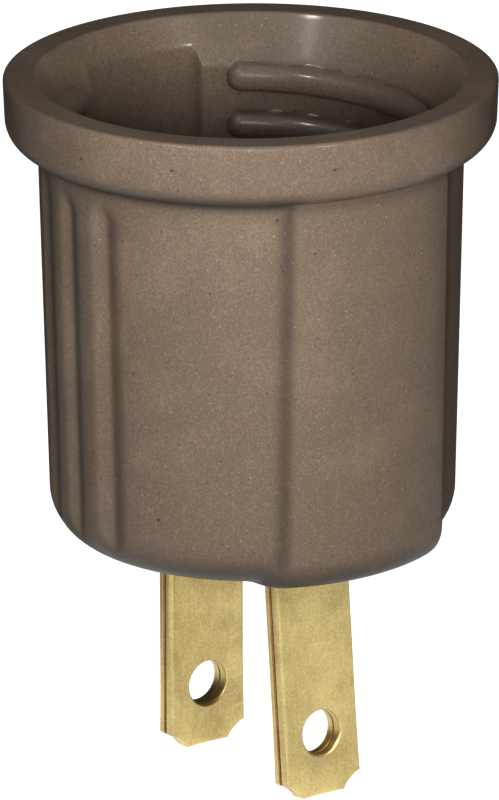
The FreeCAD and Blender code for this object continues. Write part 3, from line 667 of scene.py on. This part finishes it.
def bladeOutline():
    # front view of a blade: points (across, down), and how far the fold has closed the
    # seam there; the shallow hollow of each notch, a parabola across its slope, runs into
    # its neighbours with soft corners
    b = bladeSize
    w, deep = b["width"] / 2, b["length"]
    share = np.linspace(0.0, 1.0, 9)
    bow = b["notchHollow"] * 4 * share * (1 - share)
    notch = np.column_stack([w - b["notchWide"] * share - bow * 0.64,
                             deep - b["notchHigh"] * (1 - share) - bow * 0.77])
    corners = np.concatenate([[(w, -b["top"])], notch, [(0.0, deep)]])
    rounded = [softCorner(*three, b["soft"]) for three in zip(corners, corners[1:], corners[2:])]
    half = resample(np.concatenate([corners[:1]] + rounded + [corners[-1:]]), b["step"])
    closed = np.clip((half[:, 1] - deep + b["notchHigh"] * 0.75) / (b["notchHigh"] * 0.6), 0.0, 1.0)
    half = np.column_stack([half, closed * closed * (3 - 2 * closed)])
    mirrored = half[::-1][half[::-1, 0] > 1e-9] * (-1, 1, 1)
    outline = np.concatenate([half, mirrored])
    return outline[:, :2], outline[:, 2]


def softCorner(before, corner, after, reach):
    # five points that round a corner, a quadratic curve between its two sides; a corner
    # that hardly turns keeps its one point
    inward, outward = before - corner, after - corner
    lengths = np.linalg.norm(inward), np.linalg.norm(outward)
    if np.dot(inward, outward) / (lengths[0] * lengths[1]) < -0.97:
        return corner[None]
    first = corner + inward / lengths[0] * min(reach, lengths[0] * 0.45)
    last = corner + outward / lengths[1] * min(reach, lengths[1] * 0.45)
    t = np.linspace(0.0, 1.0, 5)[:, None]
    return (1 - t) ** 2 * first + 2 * t * (1 - t) * corner + t * t * last


def resample(line, step):
    # keeps the line's points and adds others evenly where they are further apart than
    # one and a half steps, or five steps on a long straight
    lengths = np.hypot(*np.diff(line, axis=0).T)
    parts = np.maximum(1, (lengths / (step * np.where(lengths > 3, 5, 1.5))).astype(int))
    piece = np.repeat(np.arange(len(parts)), parts)
    count = np.arange(len(piece)) - (np.cumsum(parts) - parts)[piece] + 1
    share = (count / parts[piece])[:, None]
    return np.concatenate([line[:1], line[piece] + (line[piece + 1] - line[piece]) * share])


def outwardNormals(points):
    # outward direction at each point of an open outline: its step, turned by a right angle
    step = np.gradient(points, axis=0)
    normal = np.stack([-step[:, 1], step[:, 0]], axis=1)
    normal /= np.linalg.norm(normal, axis=1)[:, None] + 1e-12
    return normal if normal[len(points) // 2, 1] >= 0 else -normal


def edgeShare(points):
    # narrows the rounded edge where the outline turns sharply, so that it doesn't fold
    # over itself there: the least value of seven neighbours, then their mean
    step = np.diff(points, axis=0)
    heading = np.unwrap(np.arctan2(step[:, 1], step[:, 0]))
    length = np.hypot(step[:, 0], step[:, 1])
    turn = np.zeros(len(points))
    turn[1:-1] = np.abs(np.diff(heading)) / ((length[1:] + length[:-1]) / 2)
    share = np.minimum(1.0, 0.6 / (turn * bladeSize["edge"] + 1e-6))
    for measure in (np.min, np.mean):
        windows = np.lib.stride_tricks.sliding_window_view(np.pad(share, 3, mode="edge"), 7)
        share = measure(windows, axis=1)
    return share


def bladeEdgeProfile(closed):
    # for each outline point a row of (inset from the outline, height over the middle
    # plane), from the front face over the edge, into the seam and out to the back; the
    # closed share blends it into the round fold
    b = bladeSize
    e, g, r = b["edge"], b["gap"], b["tip"]
    quarter = arcPoints(0.0, 0.0, 1.0, 90, 0, 9)
    side = np.concatenate([(e, b["half"] - e) + quarter * (-e, e),
                           [(0.0, g + 0.12), (0.02, g + 0.05), (0.08, g), (b["seamDepth"], g * 0.8)]])
    fold = np.concatenate([(r, b["half"] - r) + quarter * (-r, r),
                           [(0.0, 0.2), (0.0, 0.14), (0.0, 0.08), (0.0, 0.03)]])
    closed = closed[:, None, None]
    half = side * (1 - closed) + fold * closed
    return np.concatenate([half, half[:, ::-1] * (1, -1)], axis=1)


def bladeHole(grow=0.0):
    # circle of the hole, (across, down)
    loop = circleLoop(0.0, bladeSize["hole"] + grow, bladeSize["holeSteps"])
    return loop + (0.0, bladeSize["holeDepth"])


def makeBlade(name, lean, turned, node):
    # the outline, inset and lifted by the edge profile; faces with the hole at front and
    # back; the hole's wall with eased edges and its seam; then the blade is leant
    b = bladeSize
    flat, closed = bladeOutline()
    profiles = bladeEdgeProfile(closed) * np.stack([edgeShare(flat), np.ones(len(flat))], axis=1)[:, None]
    inset, height = profiles[:, :, 0].T, profiles[:, :, 1].T
    rings = np.concatenate([flat - outwardNormals(flat) * inset[:, :, None], height[:, :, None]], axis=2)
    pile = Pile()
    pile.addRings(rings, closed=False)
    seamFirst, seamLast = 9, len(rings) - 11
    row = np.arange(len(rings) - 1)
    inSeam = (row >= seamFirst) & (row <= seamLast)
    slots = np.outer(inSeam, closed[:-1] + closed[1:] < 0.9).astype(int).ravel().tolist()
    ease = b["holeEase"]
    for face, ring in ((1, rings[0]), (-1, rings[-1])):
        points, triangles = fillBetween([ring[:, :2], bladeHole(ease)], face * b["half"])
        pile.add(points, triangles)
        slots += [0] * len(triangles)
    wall = []
    for face in (1, -1):
        part = [atHeight(bladeHole(ease - ease * math.cos(a)),
                         face * (b["half"] - ease + ease * math.sin(a)))
                for a in np.radians((90, 60, 30, 0))]
        part.append(atHeight(bladeHole(), face * (b["gap"] + 0.04)))
        part.append(atHeight(bladeHole(0.12), face * b["gap"] * 0.8))
        wall += part[::face]
    pile.addRings(wall)
    for row in range(len(wall) - 1):
        slots += [1 if 4 <= row <= 6 else 0] * b["holeSteps"]
    across, down, height = pile.points.T
    s, c = math.sin(math.radians(lean)), math.cos(math.radians(lean))
    x = b["x"] + np.where(down > 0, down * s + height * c, height)
    z = np.where(down > 0, height * s - down * c, -down)
    pile.points = np.stack([x, across, z], axis=1)
    for points, faces in bladeFeet():
        pile.add(points, faces)
        slots += [0] * len(faces)
    sign = -1.0 if turned else 1.0
    piece = meshPiece(name, pile.points * (sign, sign, 1.0), pile.faces, [bladeBrass, shearedBrass],
                      38, slots)
    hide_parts(node)
    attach(piece, "root")


def bladeFeet():
    # the two leaves above the slot: straight up, then bent apart on to the floor;
    # drawn as strips with slightly rounded edges
    b = bladeSize
    t, g, r = b["leaf"], b["gap"], b["bend"]
    quarter = np.radians(np.linspace(0, 90, 9))
    strips = []
    for side, end in ((1, b["footEnd"]), (-1, b["footInner"])):
        centre = (b["x"] + side * (g + t + r), b["floor"] - r)
        bend = np.column_stack([-side * np.cos(quarter), np.sin(quarter)])
        outer = np.concatenate([[(b["x"] + side * (g + t), b["footStart"])], centre + bend * r,
                                [(end, b["floor"])]])
        inner = np.concatenate([[(b["x"] + side * g, b["footStart"])], centre + bend * (r + t),
                                [(end, b["floor"] + t)]])
        strips.append(roundedStrip(inner, outer, b["width"] / 2, b["footEdge"]))
    return strips


def roundedStrip(upper, lower, halfWidth, edge):
    # a bent strip from its two face lines in (x, z), lofted across its width with the
    # long edges eased
    easing = [(-halfWidth, 1.0), (-halfWidth + edge * 0.3, 0.45), (-halfWidth + edge, 0.0),
              (halfWidth - edge, 0.0), (halfWidth - edge * 0.3, 0.45), (halfWidth, 1.0)]
    pull = (upper - lower) / np.linalg.norm(upper - lower, axis=1)[:, None] * edge
    rings = [np.insert(np.concatenate([upper - pull * share, (lower + pull * share)[::-1]]), 1, y, axis=1)
             for y, share in easing]
    count = len(rings[0])
    last = (len(rings) - 1) * count
    ends = [list(range(count)), list(range(last, last + count))[::-1]]
    return np.concatenate(rings), gridFaces(len(rings), count, True) + ends


makeBlade("bladeNear", bladeSize["leanNear"], False, "blade_near")
makeBlade("bladeFar", bladeSize["leanFar"], True, "blade_far")
print("blades done")


# Rivets

# crown and lip: radius, and height over the sink or over the clinch
rivetSize = {"x": 9.85, "sink": 0.3, "head": 1.8, "headHeight": 0.7, "headRound": 0.35,
             "headRoundHeight": 0.47, "shank": 1.1, "clinchZ": 6.21, "clinch": 1.65, "clinchRound": 0.25,
             "crown": [(0.001, 0.0), (0.5, 0.005), (1.0, 0.05)],
             "lip": [(1.15, 0.5), (0.85, 0.5), (0.66, 0.44), (0.54, 0.25), (0.5, -0.28), (0.001, -0.34)]}


def makeRivet(name, side, node, count=48):
    # a profile of (radius, height) turned about an upright axis: the slightly domed head
    # with a round edge, the shank, and the rolled clinch round its dimple
    r = rivetSize
    neck = r["sink"] + r["headHeight"]
    headArc, clinchArc = np.radians((15, 40, 65, 90)), np.radians((60, 90, 120, 150))
    profile = np.concatenate([
        np.array(r["crown"]) + (0.0, r["sink"]),
        np.column_stack([r["head"] - r["headRound"] * (1 - np.sin(headArc)),
                         r["sink"] + r["headRoundHeight"] - r["headRound"] * np.cos(headArc)]),
        [(r["head"], neck), (r["shank"], neck), (r["shank"], r["clinchZ"]),
         (r["clinch"] - 0.1, r["clinchZ"])],
        np.column_stack([r["clinch"] - r["clinchRound"] * (1 - np.sin(clinchArc)),
                         r["clinchZ"] + r["clinchRound"] * (1 - np.cos(clinchArc))]),
        np.array(r["lip"]) + (0.0, r["clinchZ"])])
    pile = Pile()
    pile.addRings([atHeight(circleLoop(side * r["x"], radius, count), z) for radius, z in profile])
    piece = meshPiece(name, pile.points, pile.faces, [rivetBrass], 40)
    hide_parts(node)
    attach(piece, "root")


makeRivet("rivetNear", 1, "rivet_near")
makeRivet("rivetFar", -1, "rivet_far")


# Contact springs

contactSize = {"thickness": 0.5, "half": 2.5, "edge": 0.1, "bend": 0.6, "footBend": 10.5,
               "outX": 13.678, "top": 22.5, "bowZ": 17.3, "bowHalf": 3.6, "bow": 0.95,
               "rivetEnd": 7.95, "foot": 5.71, "crestZ": 9.4, "crestRound": 3.2, "reach": 1.9,
               "rise": 30.17, "riseSoft": 1.1, "riseFoot": 8.5, "farEnd": 11.75}


def sideLine():
    # the outer face line of the side contact, from its riveted end to its top: a flat
    # foot, a quarter bend, and an upright that bows inward by one wave of a cosine
    k = contactSize
    r = k["bend"] + k["thickness"]
    share = np.linspace(-1.0, 1.0, 21)
    bow = np.column_stack([k["outX"] - k["bow"] * (1 + np.cos(math.pi * share)) / 2,
                           k["bowZ"] + k["bowHalf"] * 1.15 * share])
    return np.concatenate([
        [(k["rivetEnd"], k["foot"]), (k["footBend"], k["foot"])],
        arcPoints(k["outX"] - r, k["foot"] + r, r, -90, 0, 9),
        [(k["outX"], k["bowZ"] - k["bowHalf"] - 1.2)], bow, [(k["outX"], k["top"])]])


def centreLine():
    # the lower face line of the centre contact, from its riveted end over the crest: a
    # flat foot, a soft bend into the straight rise, and a round crest
    k = contactSize
    r = k["crestRound"] - k["thickness"]
    axisZ = k["crestZ"] - k["crestRound"]
    rise = math.radians(k["rise"])
    end = math.degrees(math.asin(k["reach"] / k["crestRound"]))
    kinkX = r * math.sin(rise) + (axisZ + r * math.cos(rise) - k["foot"]) / math.tan(rise)
    kink = np.array((kinkX, k["foot"]))
    share = np.linspace(0.0, 1.0, 9)[:, None]
    flat = kink + k["riseSoft"] * (1 - share) * (1.0, 0.0)
    climb = kink + k["riseSoft"] * share * (-math.cos(rise), math.sin(rise))
    return np.concatenate([
        [(k["farEnd"], k["foot"]), (k["riseFoot"], k["foot"])], flat + (climb - flat) * share,
        arcPoints(0.0, axisZ, r, 90 - k["rise"], 90 + end, 17)])


def makeContact(name, lower, side, node):
    # a strip of even thickness over its lower face line
    k = contactSize
    tangent = np.gradient(lower, axis=0)
    tangent /= np.linalg.norm(tangent, axis=1)[:, None]
    up = np.stack([-tangent[:, 1], tangent[:, 0]], axis=1)
    up = up if up[0, 1] >= 0 else -up
    points, faces = roundedStrip(lower + up * k["thickness"], lower, k["half"], k["edge"])
    piece = meshPiece(name, points * (side, side, 1), faces, [contactBrass], 40)
    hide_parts(node)
    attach(piece, "root")


makeContact("sideContact", sideLine(), 1, "side_contact")
makeContact("centreContact", centreLine(), -1, "centre_contact")
print("metal done")


# Floor, lights and camera

cameraSize = {"azimuth": 53.59, "elevation": 18.405, "roll": -0.253, "distance": 1.0,
              "targetZ": 0.00983, "focal": 13840.0, "offset": 2.613, "height": 800.0}
stageSize = {"floorZ": -18.16, "floorHalf": 3000.0, "cardDrop": 0.3, "cardReach": 1500.0,
             "cardBehind": 24.0, "lampTarget": 0.012}

# Matt paint on board, pale: an even ground, almost white.
floorLook = {
    "base": "#F4F4F2", "shade": "#F0F0EE", "patterns": {"cloud": (60.0, 2.0, 0.5)},
    "layers": [("cloud", 0.0, 1.0, 1.0, "shade")],
    "shader": {"Roughness": 0.85, "Emission Color": (1.0, 1.0, 1.0, 1.0), "Emission Strength": 0.97},
}

# White card, pressed smooth: seen only as the bright ground that the metal mirrors.
cardLook = {
    "base": "#F6F5F2", "shade": "#EFEFEE", "patterns": {"cloud": (300.0, 1.0, 0.5)},
    "layers": [("cloud", 0.0, 1.0, 1.0, "shade")], "shader": {},
}

# each fan of card: first and last degree to the camera's right, strength
reflectorFans = {"bright": (-66, 95, 1.2), "dim": (-125, -66, 0.35)}
# each lamp: degrees to the camera's right, degrees up, distance and width in metres, watts
surfaceLamps = {"keyLight": (1, 20, 0.115, 0.035, 0.163), "topLight": (180, 80, 1.1, 0.3, 1.6),
                "backLightLeft": (-158, 5, 1.05, 0.4, 4.0), "backLightRight": (158, 5, 1.05, 0.4, 4.0)}
glintLamps = {"sheenLight": (0, 24, 0.95, 0.4, 5.0), "overheadLight": (0, 90, 1.2, 0.9, 2.0),
              "glintLeft": (-42, 50, 0.8, 0.06, 4.2), "glintRight": (38, 36, 0.8, 0.06, 4.2)}
lampColours = {"surface": (1.0, 0.98, 0.95), "glint": (1.0, 0.95, 0.93)}
surroundings = {"pale": (0.90, 0.90, 0.89, 1.0), "dim": (0.82, 0.95, 1.0, 1.0), "dimStrength": 0.03}


def flatSheet(name, corners, faces, height, look):
    # a flat sheet of (x, y) corners at a height, in the material that the look names
    material, tree, pattern = startMaterial(look["name"], look)
    finishMaterial(tree, look, pattern)
    mesh = bpy.data.meshes.new(name)
    mesh.from_pydata((atHeight(corners, height) * millimetre).tolist(), [], faces)
    mesh.materials.append(material)
    sheet = bpy.data.objects.new(name, mesh)
    bpy.context.scene.collection.objects.link(sheet)
    return sheet


def makeFloor():
    # the pale floor shows, but doesn't wash out the shaded sides; the reflector below
    # gives the metal its bright ground
    size = stageSize["floorHalf"]
    floor = flatSheet("floorPlane", rectangleLoop(0.0, size, size), [(0, 1, 2, 3)],
                      stageSize["floorZ"], dict(floorLook, name="paintedFloorPale"))
    floor.visible_diffuse = False
    floor.visible_glossy = False


def makeReflector(first, last, strength):
    # a fan of white card just under the floor, only mirrored; dim on the left and open
    # behind the part, so that the sides of the moulding stay dark
    apex = math.radians(cameraSize["azimuth"])
    angles = np.radians(np.linspace(first, last, 21)) + apex
    fan = stageSize["cardReach"] * np.column_stack([np.sin(angles), -np.cos(angles)])
    behind = (-stageSize["cardBehind"] * math.sin(apex), stageSize["cardBehind"] * math.cos(apex))
    card = flatSheet("reflectorCard", np.concatenate([[behind], fan]),
                     [(0, i + 1, i) for i in range(1, len(fan))],
                     stageSize["floorZ"] - stageSize["cardDrop"],
                     dict(cardLook, name="cardWhite", glow=strength))
    card.visible_camera = False
    card.visible_diffuse = False
    card.visible_shadow = False


def direction(azimuth, elevation):
    # unit vector at an azimuth counted from -Y towards +X, and at a height, in degrees
    a, e = math.radians(azimuth), math.radians(elevation)
    return Vector((math.sin(a) * math.cos(e), -math.cos(a) * math.cos(e), math.sin(e)))


def areaLight(name, setting, colour):
    # a round lamp that looks at the middle of the part
    azimuth, elevation, distance, size, power = setting
    data = bpy.data.lights.new(name, "AREA")
    data.shape = "DISK"
    data.size = size
    data.energy = power
    data.color = colour
    light = bpy.data.objects.new(name, data)
    bpy.context.scene.collection.objects.link(light)
    towards = direction(cameraSize["azimuth"] + azimuth, elevation)
    light.location = Vector((0.0, 0.0, stageSize["lampTarget"])) + towards * distance
    light.rotation_euler = towards.to_track_quat("Z", "Y").to_euler()
    return light


def makeCamera():
    # the pinhole that was fitted to the photograph; focal and offset are in its pixels
    c = cameraSize
    data = bpy.data.cameras.new("camera")
    data.sensor_fit = "VERTICAL"
    data.sensor_height = 36.0
    data.sensor_width = 36.0
    data.lens = c["focal"] * data.sensor_height / c["height"]
    data.shift_x = -c["offset"] / c["height"]
    data.clip_start = 0.05
    data.clip_end = 20.0
    camera = bpy.data.objects.new("camera", data)
    bpy.context.scene.collection.objects.link(camera)
    towards = direction(c["azimuth"], c["elevation"])
    turn = towards.to_track_quat("Z", "Y").to_matrix() @ Matrix.Rotation(math.radians(c["roll"]), 3, "Z")
    camera.location = Vector((0.0, 0.0, c["targetZ"])) + towards * c["distance"]
    camera.rotation_euler = turn.to_euler()
    bpy.context.scene.camera = camera


makeCamera()
makeFloor()
for fan in reflectorFans.values():
    makeReflector(*fan)
# the broad lamps only light surfaces; the others are seen only as glints on edges
for name, setting in surfaceLamps.items():
    lamp = areaLight(name, setting, lampColours["surface"])
    lamp.visible_glossy = False
    lamp.visible_camera = False
for name, setting in glintLamps.items():
    lamp = areaLight(name, setting, lampColours["glint"])
    lamp.visible_diffuse = False

# the surroundings look pale but light the part only weakly, so its shaded sides stay dark
world = bpy.data.worlds.new("studio")
world.use_nodes = True
tree = world.node_tree
tree.nodes.clear()
pale = addNode(tree, "ShaderNodeBackground", {"Color": surroundings["pale"], "Strength": 1.0})
dim = addNode(tree, "ShaderNodeBackground", {
    "Color": surroundings["dim"], "Strength": surroundings["dimStrength"]})
seen = addNode(tree, "ShaderNodeLightPath").outputs["Is Camera Ray"]
addNode(tree, "ShaderNodeOutputWorld", {
    "Surface": addNode(tree, "ShaderNodeMixShader", {0: seen, 1: dim, 2: pale})})
bpy.context.scene.world = world
bpy.context.scene.view_settings.view_transform = "Standard"

print("scene done")
